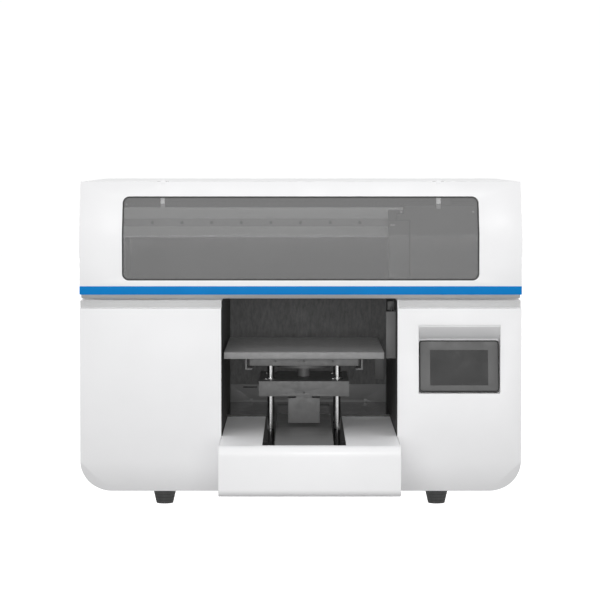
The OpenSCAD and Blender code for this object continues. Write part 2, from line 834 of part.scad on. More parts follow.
module z_motor() color("black") machine()
    translate([bed_x, z_motor_y, z_pulley_low + z_pulley_h + 2]) rotate([180, 0, 0])
        motor_body(housing_top - housing_wall - z_pulley_low - z_pulley_h - 2);

module z_pulley() color("silver") machine() {
    rod_up(bed_x, z_motor_y, [z_pulley_low, z_pulley_low + z_pulley_h], pulley_r);
    rod_up(bed_x, z_motor_y, [z_pulley_low, z_pulley_low + z_pulley_h + 4.8], 2.5);
}

module z_belt() color([0.08, 0.08, 0.08]) machine()
    translate([bed_x, 0, z_pulley_low]) rotate([0, 0, 90])
        linear_extrude(z_pulley_h - 1) difference() {
            stadium(lift_y, z_motor_y, belt_r);
            stadium(lift_y, z_motor_y, belt_r - belt_t);
        }

// ---- Gantry ----

module gantry_supports() color("dimgray") machine()
    for (side = [-1, 1])
        block([side * support_x - support_t / 2, side * support_x + support_t / 2],
            [beam_y - 4, beam_y + 120], [base_z + base_t, beam_z]);

module x_beam() color("silver") machine()
    difference() {
        block([-beam_end, beam_end], [beam_y, beam_y + beam_s], [beam_z, beam_z + beam_s]);
        block([-beam_end - 1, beam_end + 1], [beam_y + beam_wall, beam_y + beam_s - beam_wall],
            [beam_z + beam_wall, beam_z + beam_s - beam_wall]);
    }

module x_drive_pulley() color("silver") machine()
    translate([-x_end, x_belt_y, x_belt_z]) rotate([90, 0, 0]) {
        pulley(belt_w + 2, 10);
        translate([0, 0, -10]) cylinder(h = 10, r = 2.5);
    }

// The idler turns on a pin in an upright that stands on the beam
module x_idler_pulley() color("silver") machine()
    translate([x_end, x_belt_y, x_belt_z]) rotate([90, 0, 0])
        pulley(belt_w + 2, 36);

// ---- Carriage ----

module carriage_frame() color("dimgray") machine()
    difference() {
        union() {
            block([lamp_x - lamp_w / 2, park_x + head_box_w / 2 + 20],
                [carriage_y1, carriage_y1 + plate_t], [sole_z, box_top - 10]);
            block([park_x - head_box_w / 2, park_x + head_box_w / 2],
                [carriage_y0, carriage_y1 + 1], [sole_z, sole_z + sole_t]);
            block([park_x - 15, park_x + 15], [carriage_y1, carriage_y1 + plate_t],
                [sole_z, x_belt_z + belt_r + 5]);
            block([park_x - 15, park_x + 15], [carriage_y1, x_belt_y + belt_w / 2],
                [x_belt_z + belt_r + belt_gap, x_belt_z + belt_r + 5]);
        }
        for (side = [-1, 1])
            post(park_x + side * head_pitch / 2, head_y, [sole_z - 1, sole_z + sole_t + 1],
                head_size[0] + 1, head_size[1] + 1);
    }

module carriage_blocks() color("silver") machine()
    for (side = [-1, 1])
        difference() {
            block([park_x + side * 52 - block_l / 2, park_x + side * 52 + block_l / 2],
                [carriage_y1 + plate_t, beam_y - 4],
                [x_rail_z - block_h / 2, x_rail_z + block_h / 2]);
            block([park_x + side * 52 - block_l, park_x + side * 52 + block_l],
                [beam_y - rail_h - rail_gap, beam_y],
                [x_rail_z - rail_w / 2 - rail_gap, x_rail_z + rail_w / 2 + rail_gap]);
        }

// Cover over the heads, stepped towards the lamp
module carriage_cover() color([0.25, 0.25, 0.26]) machine()
    difference() {
        cover_form(0, [carriage_y0, carriage_y1]);
        cover_form(2, [carriage_y0 + 2, carriage_y1 + 1]);
    }

module cover_form(t, y)
    backwards(y) polygon([
        [park_x - head_box_w / 2 + t, sole_z + sole_t - (t > 0 ? 1 : 0)],
        [park_x + head_box_w / 2 - t, sole_z + sole_t - (t > 0 ? 1 : 0)],
        [park_x + head_box_w / 2 - t, box_top - t],
        [park_x - head_box_w / 2 - 12 + t, box_top - t],
        [park_x - head_box_w / 2 - 12 + t, box_top - 16 - t],
        [park_x - head_box_w / 2 - 26 + t, box_top - 16 - t],
        [park_x - head_box_w / 2 - 26 + t, lamp_top + 2 + t],
        [park_x - head_box_w / 2 + t, lamp_top + 2 + t]]);

module print_heads() color("black") machine()
    for (side = [-1, 1]) {
        x = park_x + side * head_pitch / 2;
        post(x, head_y, [nozzle_z, sole_z + sole_t + 30], head_size[0], head_size[1]);
        post(x, head_y, [sole_z + sole_t, sole_z + sole_t + 4], head_size[0] + 12,
            head_size[1] + 8);
        post(x, head_y, [sole_z + sole_t + 30, sole_z + sole_t + 62], head_size[0] - 4,
            head_size[1] - 8);
    }

// Ultraviolet lamp with a recess for its fan on top
module uv_lamp() color([0.2, 0.2, 0.2]) machine()
    difference() {
        union() {
            block([lamp_x - lamp_w / 2, lamp_x + lamp_w / 2], [carriage_y0 + 4, carriage_y1],
                [sole_z, lamp_top]);
            block([lamp_x - lamp_w / 2 + 5, lamp_x + lamp_w / 2 - 5],
                [carriage_y0 + 9, carriage_y1 - 5], [sole_z - 3, sole_z]);
        }
        difference() {
            rod_up(lamp_x, head_y + 2, [lamp_top - 14, lamp_top + 1], fan_r + 1);
            rod_up(lamp_x, head_y + 2, [lamp_top - 14, lamp_top - 3], 1.5);
        }
    }

module lamp_fan() color("black") machine()
    translate([lamp_x, head_y + 2, lamp_top - 12]) fan_rotor(fan_r, 8, 5, 1.55, 7);

// A rotor with tilted blades round a bored hub
module fan_rotor(r, h, hub, bore, blades)
    difference() {
        union() {
            cylinder(h = h, r = hub);
            intersection() {
                for (i = [0 : blades - 1])
                    rotate([0, 0, i * 360 / blades]) translate([hub - 1, -0.75, h / 2])
                        rotate([38, 0, 0]) translate([0, 0, -h]) cube([r, 1.5, 2 * h]);
                difference() {
                    cylinder(h = h, r = r);
                    translate([0, 0, -1]) cylinder(h = h + 2, r = hub - 0.5);
                }
            }
        }
        translate([0, 0, -1]) cylinder(h = h + 2, r = bore);
    }

// ---- Capping station ----

// Tub that hangs under the right cabinet's top, with two guide pins
module cap_tub() color("dimgray") machine() {
    difference() {
        post(cap_x, head_y, [tub_low, cabinet_top - sheet], tub_size[0], tub_size[1]);
        post(cap_x, head_y, [tub_low + tub_wall, cabinet_top], tub_size[0] - 2 * tub_wall,
            tub_size[1] - 2 * tub_wall);
    }
    for (side = [-1, 1])
        rod_up(cap_x + side * 46, head_y, [tub_low, cabinet_top - sheet - 6], 3);
}

module cap_carrier() color("gray") machine()
    difference() {
        post(cap_x, head_y, [carrier_low, carrier_low + carrier_t], 104, 54);
        for (side = [-1, 1])
            rod_up(cap_x + side * 46, head_y, [carrier_low - 1, carrier_low + carrier_t + 1],
                3.05);
    }

// Rubber caps under the nozzles, and the wiper blade between them
module cap_seals() color("black") machine() {
    for (side = [-1, 1])
        difference() {
            post(cap_x + side * head_pitch / 2, head_y,
                [carrier_low + carrier_t, nozzle_z - cap_gap], head_size[0], head_size[1]);
            post(cap_x + side * head_pitch / 2, head_y,
                [carrier_low + carrier_t + 4, nozzle_z], head_size[0] - 6, head_size[1] - 6);
        }
    post(cap_x, head_y, [carrier_low + carrier_t, nozzle_z - cap_gap], 2, head_size[1]);
}

// ---- Touch screen ----

// The housing leans back from its lower edge
module at_screen()
    translate([screen_x - screen_w / 2, 1.5, screen_z]) rotate([-screen_tilt, 0, 0])
        children();

module screen_housing() color([0.4, 0.4, 0.4]) machine()
    at_screen() difference() {
        backwards([0, screen_t]) round_rect([0, screen_w], [0, screen_h], 4);
        block([glass_x, glass_x + glass_size[0]], [-1, 1.2],
            [glass_z, glass_z + glass_size[1]]);
    }

module screen_glass() color([0.3, 0.3, 0.3]) machine()
    at_screen() block([glass_x, glass_x + glass_size[0]], [0.4, 1.2],
        [glass_z, glass_z + glass_size[1]]);

// ---- Services ----

// Ink bottles that hang in the left cabinet's top, each with its cap, and the bottle
// under the capping station that takes waste ink
module ink_bottles() color("whitesmoke") machine() {
    for (i = [0 : bottle_count - 1]) {
        post(bottle_x(i), bottle_y, [cabinet_top - sheet - 150, cabinet_top - sheet], 28, 100);
        rod_up(bottle_x(i), bottle_y, [cabinet_top - sheet - 1, cabinet_top + 3],
            bottle_neck_r);
        rod_up(bottle_x(i), bottle_y, [cabinet_top + 0.2, cabinet_top + 14],
            bottle_neck_r + 3);
    }
    post(cap_x, head_y - 30, [base_z + base_t, base_z + base_t + 200], 90, 90);
}

// Power supply on the left and control board on its pillars on the right
module electronics() color("silver") machine() {
    block([-half_w + 60, -half_w + 170], [420, 620], [base_z + base_t, base_z + 55]);
    block([bay_x1 + 25, bay_x1 + 175], [430, 600], [base_z + base_t + 10, base_z + base_t + 12]);
    for (x = [bay_x1 + 30, bay_x1 + 170], y = [435, 595])
        rod_up(x, y, [base_z + base_t, base_z + base_t + 10], 3);
    block([bay_x1 + 60, bay_x1 + 110], [470, 520], [base_z + base_t + 12, base_z + base_t + 26]);
    block([bay_x1 + 130, bay_x1 + 165], [450, 580], [base_z + base_t + 12, base_z + base_t + 24]);
    difference() {
        block([socket_x - 24, socket_x + 24], [rear_y - 22, body_d],
            [socket_z - 14, socket_z + 14]);
        block([socket_x - 13, socket_x + 13], [rear_y - 14, body_d + 1],
            [socket_z - 9, socket_z + 9]);
    }
}

// Frame of the exhaust fan behind the vents, with the pin that its rotor turns on
module exhaust_fan() color("black") machine() {
    y = [rear_y - exhaust_t, rear_y];
    difference() {
        block([exhaust_x - exhaust_frame / 2, exhaust_x + exhaust_frame / 2], y,
            [exhaust_z - exhaust_frame / 2, exhaust_z + exhaust_frame / 2]);
        rod_back(exhaust_x, [y[0] - 1, y[1] + 1], exhaust_z, exhaust_r + 4);
    }
    for (a = [0, 90])
        translate([exhaust_x, 0, exhaust_z]) rotate([0, a, 0])
            block([-exhaust_r - 5, exhaust_r + 5], [y[0], y[0] + 3], [-4, 4]);
    rod_back(exhaust_x, [y[0], y[1] - 4], exhaust_z, 2);
}

module exhaust_rotor() color([0.15, 0.15, 0.15]) machine()
    translate([exhaust_x, rear_y - 4, exhaust_z]) rotate([90, 0, 0])
        fan_rotor(exhaust_r, 16, 18, 2.05, 7);

// Rocker of the mains switch, on its own pin line
module power_switch() color("black") machine()
    intersection() {
        translate([switch_x - 10, rear_y - 12, socket_z - 14]) cube([20, 15, 28]);
        rod_across([switch_x - 10, switch_x + 10], rear_y - 12, socket_z, 14.9);
    }

hood_shell();
visor();
window();
window_gasket();
accent_strip();
visor_lip();
visor_hinges();
left_cabinet();
right_cabinet();
rear_panel();
feet();
base_frame();
bay_liner();
bay_rear_cover();
panel_screws();
bay_floor();
tray_body();
tray_side_tops();
sensor_bracket();
linear_rails();
bed_blocks();
bed_carriage();
lift_bridge();
rod_bushings();
lift_rods();
lift_tube();
lift_nut();
bed_subplate();
platen();
platen_clips();
lift_housing();
lead_screw();
screw_bearing();
z_motor();
z_pulley();
z_belt();
axis_motors();
y_drive_pulley();
y_idler_pulley();
axis_belts();
gantry_supports();
x_beam();
x_drive_pulley();
x_idler_pulley();
carriage_frame();
carriage_blocks();
carriage_cover();
print_heads();
uv_lamp();
lamp_fan();
cap_tub();
cap_carrier();
cap_seals();
screen_housing();
screen_glass();
ink_bottles();
electronics();
exhaust_fan();
exhaust_rotor();
power_switch();
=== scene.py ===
"""Looks of a compact flatbed UV printer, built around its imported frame. Metres throughout."""
import json
import math

import bmesh
import bpy
from mathutils import Matrix, Vector

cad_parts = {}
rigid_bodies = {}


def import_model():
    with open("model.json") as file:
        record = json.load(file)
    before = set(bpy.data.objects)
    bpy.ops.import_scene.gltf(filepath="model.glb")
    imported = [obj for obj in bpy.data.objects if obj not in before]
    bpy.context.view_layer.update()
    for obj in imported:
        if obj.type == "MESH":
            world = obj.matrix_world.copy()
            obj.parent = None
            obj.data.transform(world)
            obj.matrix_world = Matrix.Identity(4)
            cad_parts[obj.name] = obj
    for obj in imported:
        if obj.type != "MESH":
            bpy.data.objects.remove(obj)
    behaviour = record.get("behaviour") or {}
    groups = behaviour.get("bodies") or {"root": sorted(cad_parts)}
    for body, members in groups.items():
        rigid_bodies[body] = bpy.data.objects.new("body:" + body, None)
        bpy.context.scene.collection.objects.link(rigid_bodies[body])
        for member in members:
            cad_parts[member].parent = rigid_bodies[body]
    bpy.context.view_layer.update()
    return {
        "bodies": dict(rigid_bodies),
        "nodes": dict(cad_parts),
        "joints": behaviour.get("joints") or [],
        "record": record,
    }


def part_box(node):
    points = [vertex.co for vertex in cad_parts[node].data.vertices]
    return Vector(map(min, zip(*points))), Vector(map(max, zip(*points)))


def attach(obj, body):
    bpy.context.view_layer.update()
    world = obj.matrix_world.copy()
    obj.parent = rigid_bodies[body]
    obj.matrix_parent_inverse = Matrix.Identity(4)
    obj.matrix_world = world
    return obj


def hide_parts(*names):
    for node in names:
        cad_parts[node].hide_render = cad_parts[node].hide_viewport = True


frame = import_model()

MM = 0.001
nodes = frame["nodes"]
body_of = {node: body for body, members in frame["record"]["behaviour"]["bodies"].items()
           for node in members}
slot_of = {part["node"]: part["material_slot"] for part in frame["record"]["subparts"]}


# ---- Materials ----

def grey(level):
    """A display grey from 0 to 255 as a linear colour."""
    return colour(level, level, level)


def colour(*levels):
    """A display colour from 0 to 255 as a linear colour."""
    linear = [(v / 255 / 12.92) if v <= 10 else ((v / 255 + 0.055) / 1.055) ** 2.4
              for v in levels]
    return (*linear, 1.0)


def scaled(tone, factor):
    return (*[min(1.0, c * factor) for c in tone[:3]], 1.0)


class Surface:
    """A material whose colour, roughness and relief vary over the surface."""

    def __init__(self, name, roughness, metallic=0.0, **sockets):
        self.material = bpy.data.materials.new(name)
        self.material.use_nodes = True
        self.tree = self.material.node_tree
        self.shader = self.tree.nodes["Principled BSDF"]
        self.shader.inputs["Metallic"].default_value = metallic
        self.shader.inputs["Roughness"].default_value = roughness
        for label, value in sockets.items():
            self.shader.inputs[label.replace("_", " ")].default_value = value
        self.place = self.tree.nodes.new("ShaderNodeTexCoord").outputs["Object"]
        self.height = None

    def node(self, kind, **values):
        made = self.tree.nodes.new(kind)
        for label, value in values.items():
            if label in made.inputs:
                made.inputs[label].default_value = value
            else:
                setattr(made, label, value)
        return made

    def link(self, output, target):
        self.tree.links.new(output, target)

    def stretched(self, stretch):
        mapping = self.node("ShaderNodeMapping")
        mapping.inputs["Scale"].default_value = stretch
        self.link(self.place, mapping.inputs["Vector"])
        return mapping.outputs["Vector"]

    def noise(self, size, stretch=(1, 1, 1), detail=3.0, roughness=0.55):
        """Noise whose features are about size metres across."""
        made = self.node("ShaderNodeTexNoise", Scale=1 / size, Detail=detail, Roughness=roughness)
        self.link(self.stretched(stretch), made.inputs["Vector"])
        return made.outputs["Fac"]

    def ramp(self, factor, low, high, start=0.3, end=0.7):
        made = self.node("ShaderNodeValToRGB")
        made.color_ramp.elements[0].position = start
        made.color_ramp.elements[0].color = low
        made.color_ramp.elements[1].position = end
        made.color_ramp.elements[1].color = high
        self.link(factor, made.inputs["Fac"])
        return made.outputs["Color"]

    def tint(self, tone, spread, size, stretch=(1, 1, 1)):
        """Colour that drifts by the given spread either way."""
        factor = self.noise(size, stretch)
        self.link(self.ramp(factor, scaled(tone, 1 - spread), scaled(tone, 1 + spread)),
                  self.shader.inputs["Base Color"])
        return self

    def sheen_drift(self, middle, spread, size, stretch=(1, 1, 1)):
        """Roughness that drifts by the given spread either way."""
        reach = self.node("ShaderNodeMapRange")
        reach.inputs["From Min"].default_value = 0.3
        reach.inputs["From Max"].default_value = 0.7
        reach.inputs["To Min"].default_value = max(0.02, middle - spread)
        reach.inputs["To Max"].default_value = middle + spread
        self.link(self.noise(size, stretch), reach.inputs["Value"])
        self.link(reach.outputs["Result"], self.shader.inputs["Roughness"])
        return self

    def relief(self, size, depth, stretch=(1, 1, 1), detail=2.0):
        """Fine relief of the given size and depth, in metres."""
        bump = self.node("ShaderNodeBump", Strength=1.0, Distance=depth)
        self.link(self.noise(size, stretch, detail), bump.inputs["Height"])
        if self.height:
            self.link(self.height, bump.inputs["Normal"])
        self.height = bump.outputs["Normal"]
        self.link(self.height, self.shader.inputs["Normal"])
        return self


def powder_coat(name, tone, roughness=0.42, depth=0.00004):
    """Fine orange-peel powder paint."""
    surface = Surface(name, roughness, Specular_IOR_Level=0.45)
    surface.tint(tone, 0.012, 0.12).sheen_drift(roughness, 0.06, 0.05)
    surface.relief(0.0011, depth).relief(0.05, depth * 3)
    return surface.material


def textured_panel(name, tone):
    """Dark panel with a coarse, vertically streaked coat."""
    surface = Surface(name, 0.62, Specular_IOR_Level=0.35)
    streaks = surface.noise(0.006, (1, 1, 0.3), detail=5.0, roughness=0.7)
    surface.link(surface.ramp(streaks, scaled(tone, 0.72), scaled(tone, 1.3), 0.32, 0.68),
                 surface.shader.inputs["Base Color"])
    surface.sheen_drift(0.6, 0.1, 0.02).relief(0.003, 0.0003, (1, 1, 0.4))
    return surface.material


def anodised(name, tone, roughness=0.38, stretch=(1, 1, 1), metallic=0.85):
    """Bead-blasted or drawn aluminium under a grey oxide layer."""
    surface = Surface(name, roughness, metallic)
    surface.tint(tone, 0.06, 0.02, stretch).sheen_drift(roughness, 0.08, 0.008, stretch)
    surface.relief(0.0006, 0.00002, stretch)
    return surface.material


def steel(name, tone, roughness=0.16, stretch=(1, 1, 1)):
    surface = Surface(name, roughness, 1.0)
    surface.tint(tone, 0.04, 0.03, stretch).sheen_drift(roughness, 0.05, 0.01, stretch)
    surface.relief(0.0008, 0.000008, stretch)
    return surface.material


def plastic(name, tone, roughness=0.45, depth=0.00003, spread=0.05, gloss=0.5):
    surface = Surface(name, roughness, Specular_IOR_Level=gloss)
    surface.tint(tone, spread, 0.04).sheen_drift(roughness, 0.07, 0.02)
    surface.relief(0.0007, depth)
    return surface.material


def rubber(name, tone):
    surface = Surface(name, 0.72, Specular_IOR_Level=0.3)
    surface.tint(tone, 0.12, 0.01).sheen_drift(0.7, 0.1, 0.006).relief(0.0009, 0.00006)
    return surface.material


def smoked_acrylic(name, tone, alpha):
    surface = Surface(name, 0.06, Specular_IOR_Level=0.15, Alpha=alpha)
    surface.tint(tone, 0.02, 0.3).sheen_drift(0.1, 0.02, 0.08).relief(0.004, 0.000004)
    return surface.material


def dark_gloss(name, tone):
    surface = Surface(name, 0.14, Specular_IOR_Level=0.6)
    surface.tint(tone, 0.06, 0.05).sheen_drift(0.12, 0.03, 0.03).relief(0.002, 0.000003)
    return surface.material


FINISH = {
    "white_paint": powder_coat("white_paint", colour(240, 240, 241)),
    "white_tray": powder_coat("white_tray", colour(240, 240, 241), 0.38),
    "tinted_acrylic": smoked_acrylic("tinted_acrylic", grey(142), 0.5),
    "gasket_rubber": rubber("gasket_rubber", grey(62)),
    "blue_strip": plastic("blue_strip", colour(0, 126, 200), 0.42, 0.00002, 0.03, 0.08),
    "grey_lip": powder_coat("grey_lip", grey(184), 0.45),
    "black_rubber": rubber("black_rubber", grey(44)),
    "dark_panel": textured_panel("dark_panel", grey(80)),
    "dark_cover": powder_coat("dark_cover", grey(100), 0.4),
    "dark_gloss": dark_gloss("dark_gloss", grey(50)),
    "frame_steel": powder_coat("frame_steel", grey(96), 0.5),
    "bright_steel": steel("bright_steel", grey(225), 0.12),
    "rail_steel": steel("rail_steel", grey(200), 0.24),
    "grey_anodised": anodised("grey_anodised", grey(118), 0.5, metallic=0.35),
    "beam_aluminium": anodised("beam_aluminium", grey(206), 0.45, (0.05, 1, 1), 0.2),
    "bronze": steel("bronze", colour(190, 150, 90), 0.3),
    "black_plastic": plastic("black_plastic", grey(42)),
    "grey_plastic": plastic("grey_plastic", grey(96), 0.5),
    "belt_rubber": rubber("belt_rubber", grey(36)),
    "screen_bezel": plastic("screen_bezel", grey(74), 0.5),
    "screen_glass": dark_gloss("screen_glass", grey(66)),
    "bottle_plastic": plastic("bottle_plastic", grey(226), 0.3),
    "zinc_steel": steel("zinc_steel", grey(190), 0.35),
}

DARK_ANODISED = anodised("dark_anodised", grey(88), 0.52, metallic=0.3)
NODE_FINISH = {
    "bed_subplate": DARK_ANODISED,
    "lift_bridge": DARK_ANODISED,
    "lift_housing": anodised("housing_anodised", grey(98), 0.5, metallic=0.3),
    "platen_clips": powder_coat("clip_paint", grey(96), 0.5),
    "lift_rods": steel("rod_chrome", grey(150), 0.2),
    "sensor_bracket": powder_coat("bracket_paint", grey(95), 0.5),
    "feet": rubber("foot_rubber", grey(66)),
    "rear_panel": powder_coat("rear_paint", grey(72), 0.5),
    "linear_rails": steel("rail_ground", grey(146), 0.5),
    "panel_screws": steel("screw_zinc", grey(112), 0.5),
}


# ---- Mesh helpers ----

def add_object(name, mesh, slot, body, finish=None):
    made = bpy.data.objects.new(name, mesh)
    bpy.context.scene.collection.objects.link(made)
    made.data.materials.clear()
    made.data.materials.append(finish or FINISH[slot])
    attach(made, body)
    return made


def smooth_by_angle(mesh, degrees=32):
    """Shades smooth everywhere but at edges sharper than the angle."""
    mesh.shade_smooth()
    mesh.set_sharp_from_angle(angle=math.radians(degrees))


def softened(node, radius, segments=3):
    """A piece with the node's shape and rounded edges, which stands for the node."""
    work = bmesh.new()
    work.from_mesh(nodes[node].data)
    bmesh.ops.remove_doubles(work, verts=work.verts, dist=2e-6)
    bmesh.ops.dissolve_limit(work, angle_limit=math.radians(0.8), verts=work.verts,
                             edges=work.edges)
    edges = [e for e in work.edges if len(e.link_faces) == 2
             and e.calc_face_angle(0) > math.radians(28)]
    bmesh.ops.bevel(work, geom=edges, offset=radius, offset_type="OFFSET", segments=segments,
                    profile=0.5, affect="EDGES", clamp_overlap=True)
    bmesh.ops.triangulate(work, faces=[f for f in work.faces if len(f.verts) > 4])
    mesh = bpy.data.meshes.new(node + "_soft")
    work.to_mesh(mesh)
    work.free()
    smooth_by_angle(mesh)
    made = add_object(node + "_soft", mesh, slot_of[node], body_of[node],
                      NODE_FINISH.get(node))
    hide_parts(node)
    return made


# ---- CAD nodes with rounded edges ----

EDGE_RADIUS = {
    "hood_shell": 1.6, "visor": 1.0, "left_cabinet": 1.2, "right_cabinet": 1.0,
    "rear_panel": 0.5, "accent_strip": 0.3, "visor_lip": 0.6, "tray_body": 1.2,
    "tray_side_tops": 0.6, "platen": 0.8, "bed_subplate": 0.8, "lift_bridge": 1.0,
    "lift_housing": 1.0, "screen_housing": 0.9, "bay_rear_cover": 0.4,
    "sensor_bracket": 0.4, "bed_carriage": 0.8, "carriage_cover": 1.2, "uv_lamp": 1.0,
    "x_beam": 0.8, "gantry_supports": 0.8, "platen_clips": 0.5, "feet": 1.0,
    "carriage_frame": 0.8, "print_heads": 0.6, "axis_motors": 1.2, "z_motor": 1.2,
    "bed_blocks": 0.8, "carriage_blocks": 0.8, "cap_tub": 0.6, "cap_carrier": 0.6,
}
for node, radius in EDGE_RADIUS.items():
    softened(node, radius * MM)

for node, obj in nodes.items():
    if node not in EDGE_RADIUS:
        obj.data.materials.clear()
        obj.data.materials.append(NODE_FINISH.get(node, FINISH[slot_of[node]]))


# ---- Detail pieces ----

class Pieces:
    """One object gathered from turned, boxed and swept shapes on one body."""

    def __init__(self, name, slot, body, finish=None):
        self.name, self.slot, self.body, self.finish = name, slot, body, finish
        self.mesh = bmesh.new()

    def loft(self, rings):
        """Skins rings of points, each either one point or the common count."""
        made = [[self.mesh.verts.new(point) for point in ring] for ring in rings]
        count = max(len(ring) for ring in made)
        for low, high in zip(made, made[1:]):
            for k in range(count):
                n = (k + 1) % count
                face = [low[k % len(low)], low[n % len(low)],
                        high[n % len(high)], high[k % len(high)]]
                self.mesh.faces.new(list(dict.fromkeys(face)))

    def turned(self, place, axis, profile, segments=20):
        """A profile of (radius, height) pairs in mm, turned about the axis."""
        frame = Vector(axis).to_track_quat("Z", "Y").to_matrix().to_4x4()
        frame.translation = place
        turns = [2 * math.pi * k / segments for k in range(segments)]
        self.loft([[frame @ (Vector((r * math.cos(a), r * math.sin(a), h)) * MM)
                    for a in turns] if r > 0 else [frame @ Vector((0, 0, h * MM))]
                   for r, h in profile])

    def block(self, low, high, round_by=0.0, frame=Matrix()):
        """A box between two corners, with its edges rounded."""
        low, high = Vector(low), Vector(high)
        made = bmesh.ops.create_cube(self.mesh, size=1.0, matrix=frame
                                     @ Matrix.Translation((low + high) / 2)
                                     @ Matrix.Diagonal((*(high - low), 1)))
        if round_by:
            edges = list({edge for vert in made["verts"] for edge in vert.link_edges})
            bmesh.ops.bevel(self.mesh, geom=edges, offset=round_by, offset_type="OFFSET",
                            segments=2, profile=0.5, affect="EDGES", clamp_overlap=True)

    def screw(self, place, axis, radius, height, socket=0.5):
        """A cap or button head with a socket, standing on its place. Sizes in mm."""
        soft = min(0.3 * height, 0.6)
        self.turned(place, axis, [(0, -0.2), (radius, -0.2), (radius, height - soft),
                                  (radius - 0.3 * soft, height - 0.3 * soft),
                                  (radius - soft, height), (radius * socket, height),
                                  (radius * socket * 0.9, height * 0.45),
                                  (0, height * 0.35)], 18)

    def sweep(self, path, radius, segments=10):
        """A round bar along a path of points; radius in metres."""
        turns = [2 * math.pi * k / segments for k in range(segments)]
        rings = []
        for i, point in enumerate(path):
            ahead = path[min(i + 1, len(path) - 1)] - path[max(i - 1, 0)]
            frame = ahead.to_track_quat("Z", "Y").to_matrix()
            rings.append([point + frame @ Vector((radius * math.cos(a), radius * math.sin(a), 0))
                          for a in turns])
        self.loft([[path[0]]] + rings + [[path[-1]]])

    def done(self, degrees=32):
        bmesh.ops.recalc_face_normals(self.mesh, faces=self.mesh.faces)
        mesh = bpy.data.meshes.new(self.name)
        self.mesh.to_mesh(mesh)
        self.mesh.free()
        smooth_by_angle(mesh, degrees)
        return add_object(self.name, mesh, self.slot, self.body, self.finish)


def mm(x, y, z):
    return Vector((x, y, z)) * MM


def corners(node):
    """The node's box, in mm."""
    low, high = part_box(node)
    return Vector(low) / MM, Vector(high) / MM


def spread(low, high, count):
    """Evenly spaced values from low to high."""
    return [low + (high - low) * i / (count - 1) for i in range(count)]


def inset(low, high, by):
    return low + by, high - by


FRONT, REAR, LEFT, UP, DOWN = (0, -1, 0), (0, 1, 0), (-1, 0, 0), (0, 0, 1), (0, 0, -1)


INLET_X = -300
INLET_Z = (116, 144)
PANEL_SCREW = (4.2, 2.4)
FAN_SCREW = (3.6, 2.2)


def rear_details():
    """Screws round the rear panel and the fan, inlet blades and flange, and a rocker mark."""
    low, high = corners("rear_panel")
    fan_low, fan_high = corners("exhaust_fan")
    back = high.y
    screws = Pieces("rear_screws", "zinc_steel", "root")
    for x in spread(low.x + 24, high.x - 24, 6):
        for z in (low.z + 66, high.z - 14):
            screws.screw(mm(x, back, z), REAR, *PANEL_SCREW)
    for z in spread(low.z + 150, high.z - 110, 4):
        for x in inset(low.x, high.x, 12):
            screws.screw(mm(x, back, z), REAR, *PANEL_SCREW)
    for x in inset(fan_low.x, fan_high.x, 7.5):
        for z in inset(fan_low.z, fan_high.z, 7.5):
            screws.screw(mm(x, back, z), REAR, *FAN_SCREW)
    screws.done()

    blades = Pieces("inlet_blades", "bronze", "root")
    for x, z in ((INLET_X - 6, 129), (INLET_X + 6, 129), (INLET_X, 135)):
        blades.block(mm(x - 1, back - 14.5, z - 2), mm(x + 1, back - 2.5, z + 2), 0.3 * MM)
    blades.done()

    flange = Pieces("inlet_flange", "black_plastic", "root")
    x0, x1 = INLET_X - 24, INLET_X + 24
    z0, z1 = INLET_Z
    hole_low, hole_high = z0 + 3.8, z1 - 3.8
    for left, right, bottom, top in ((x0, x1, hole_high, z1), (x0, x1, z0, hole_low),
                                     (x0, x0 + 10, hole_low, hole_high),
                                     (x1 - 10, x1, hole_low, hole_high)):
        flange.block(mm(left, back - 0.2, bottom), mm(right, back + 1.4, top), 0.5 * MM)
    flange.done()

    marks = Pieces("rocker_marks", "bottle_plastic", "power_switch")
    low, high = corners("power_switch")
    middle = (low.x + high.x) / 2
    marks.block(mm(middle - 0.5, high.y - 1.1, high.z - 10),
                mm(middle + 0.5, high.y - 0.3, high.z - 5), 0.2 * MM)
    marks.done()


FOOT_REACH = 23


def foot_details():
    """A washer plate over each foot and ribs round its rubber."""
    low, high = corners("feet")
    plates = Pieces("foot_plates", "zinc_steel", "root")
    treads = Pieces("foot_treads", "black_rubber", "root")
    for x in inset(low.x, high.x, FOOT_REACH):
        for y in inset(low.y, high.y, FOOT_REACH):
            plates.turned(mm(x, y, high.z - 2.2), UP,
                          [(0, 0), (25, 0), (25.4, 0.4), (25.4, 1.6), (25, 2.1), (0, 2.1)], 40)
            for height in (6, 12, 18, 24):
                flare = 16.1 + 6.9 * height / high.z
                treads.turned(mm(x, y, height), UP,
                              [(0, 0), (flare, 0), (flare + 0.5, 0.5), (flare, 1.3), (0, 1.3)],
                              40)
    plates.done()
    treads.done()


SCREEN_TILT = -13.5
SCREEN_HEIGHT = 99


def screen_details():
    """A dark bead round the touch screen's face."""
    low, high = corners("screen_housing")
    frame = (Matrix.Translation(mm(low.x, low.y, low.z + 3.3))
             @ Matrix.Rotation(math.radians(SCREEN_TILT), 4, "X"))
    radius = 7
    right, top = high.x - low.x - radius, SCREEN_HEIGHT - radius
    outline = []
    for x, z, start in ((right, top, 0), (radius, top, 90), (radius, radius, 180),
                        (right, radius, 270)):
        for k in range(7):
            angle = math.radians(start + 15 * k)
            outline.append(frame @ mm(x + (radius - 1) * math.cos(angle), 0,
                                      z + (radius - 1) * math.sin(angle)))
    bead = Pieces("screen_bead", "black_rubber", "root")
    bead.sweep(outline + [outline[0]], 1.1 * MM, 8)
    bead.done(60)


ROD_RADIUS = 6
FLANGE_SCREW = (1.6, 1.5)


